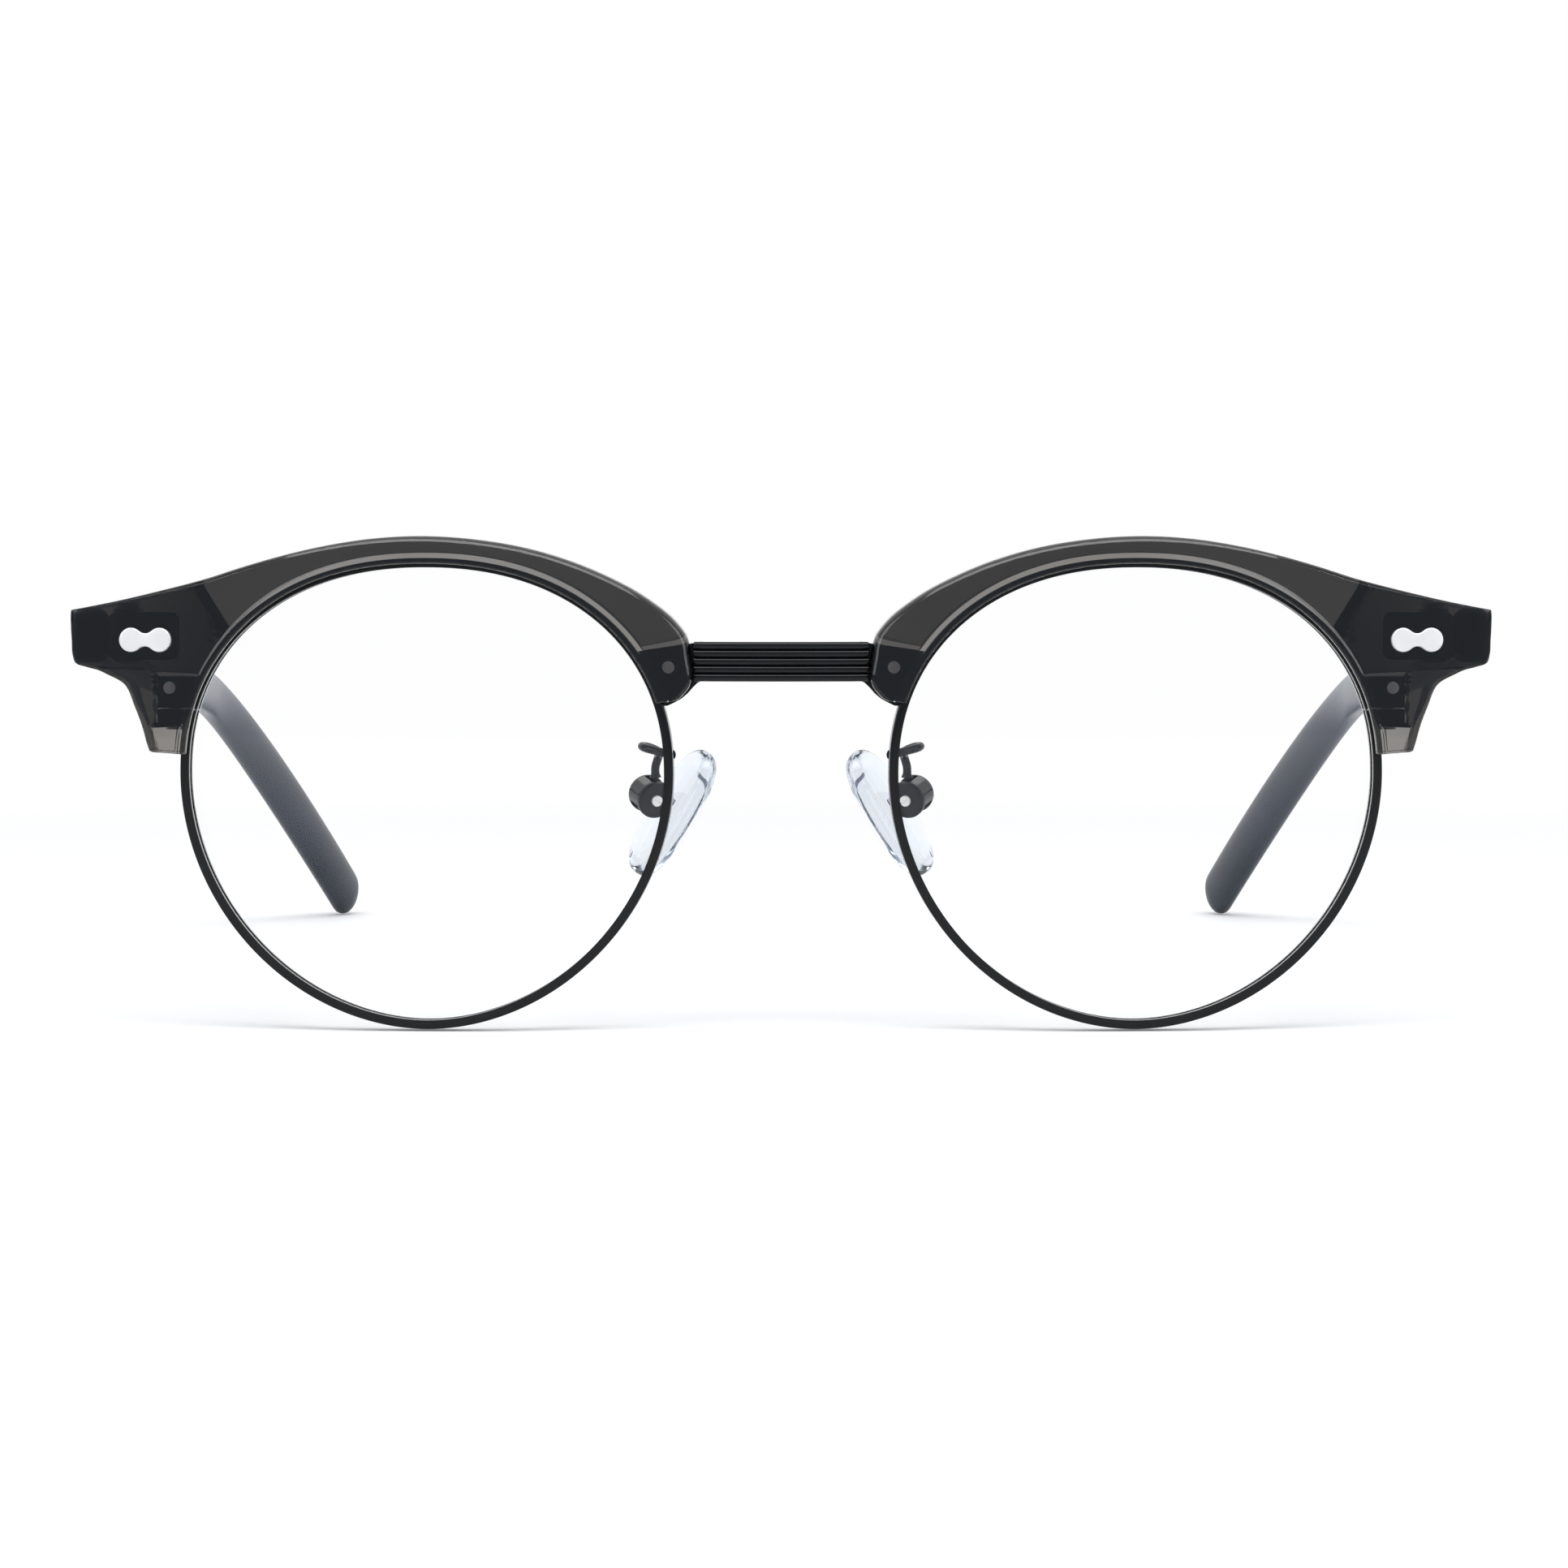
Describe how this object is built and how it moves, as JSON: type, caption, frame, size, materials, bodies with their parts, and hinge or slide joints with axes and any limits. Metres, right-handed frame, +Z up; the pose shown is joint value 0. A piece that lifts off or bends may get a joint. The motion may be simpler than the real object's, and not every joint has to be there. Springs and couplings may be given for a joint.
{
  "type": "browline eyeglasses",
  "caption": "Browline eyeglasses: metal rims under dark translucent brows, ribbed metal bridge, screwed nose pads and folding temples with down-curved ends.",
  "frame": {"origin": "middle of the glasses on the surface they stand on, between the rim bottoms and the temple tips", "axes": "+X towards the wearer's left, the lenses face -Y, the temples run back along +Y, +Z is up"},
  "size_m": [0.1432, 0.1458, 0.0488],
  "materials": {
    "black_metal": "satin black lacquer on metal",
    "lens": "clear hard-coated plastic lens",
    "brow_acetate": "polished smoke-dark translucent acetate",
    "plaque_metal": "bright plated rivet plaque",
    "temple_acetate": "polished blue-grey acetate",
    "plated_metal": "nickel plated hinge metal and screws",
    "pad_clear": "clear soft pad plastic"
  },
  "bodies": {
    "front": {"rim_left": "black_metal", "rim_right": "black_metal", "lens_left": "lens", "lens_right": "lens", "brow_left": "brow_acetate", "brow_right": "brow_acetate", "bridge": "black_metal", "upper_block_left": "black_metal", "upper_block_right": "black_metal", "lower_block_left": "black_metal", "lower_block_right": "black_metal", "closing_screw_left": "plated_metal", "closing_screw_right": "plated_metal", "brow_screws": "plated_metal", "plaque_left": "plaque_metal", "plaque_right": "plaque_metal", "front_hinge_left": "plated_metal", "front_hinge_right": "plated_metal", "hinge_screw_left": "plated_metal", "hinge_screw_right": "plated_metal", "pad_arm_left": "black_metal", "pad_arm_right": "black_metal", "pad_box_left": "black_metal", "pad_box_right": "black_metal", "pad_screw_left": "plated_metal", "pad_screw_right": "plated_metal"},
    "temple_left": {"temple_left": "temple_acetate", "temple_hinge_left": "plated_metal", "core_wire_left": "plated_metal"},
    "temple_right": {"temple_right": "temple_acetate", "temple_hinge_right": "plated_metal", "core_wire_right": "plated_metal"},
    "pad_left": {"nose_pad_left": "pad_clear"},
    "pad_right": {"nose_pad_right": "pad_clear"}
  },
  "joints": [
    {"name": "fold_left", "type": "hinge", "parent": "front", "child": "temple_left", "pos_m": [0.06474, -0.06316, 0.03881], "axis": [0, 0, 1], "range_deg": [0, 89]},
    {"name": "fold_right", "type": "hinge", "parent": "front", "child": "temple_right", "pos_m": [-0.06474, -0.06316, 0.03881], "axis": [0, 0, -1], "range_deg": [0, 81]},
    {"name": "rock_left", "type": "hinge", "parent": "front", "child": "pad_left", "pos_m": [0.0131, -0.06261, 0.02271], "axis": [0.4024, 0.8829, 0.2418], "range_deg": [-12, 12]},
    {"name": "rock_right", "type": "hinge", "parent": "front", "child": "pad_right", "pos_m": [-0.0131, -0.06261, 0.02271], "axis": [-0.4024, 0.8829, 0.2418], "range_deg": [-12, 12]}
  ]
}
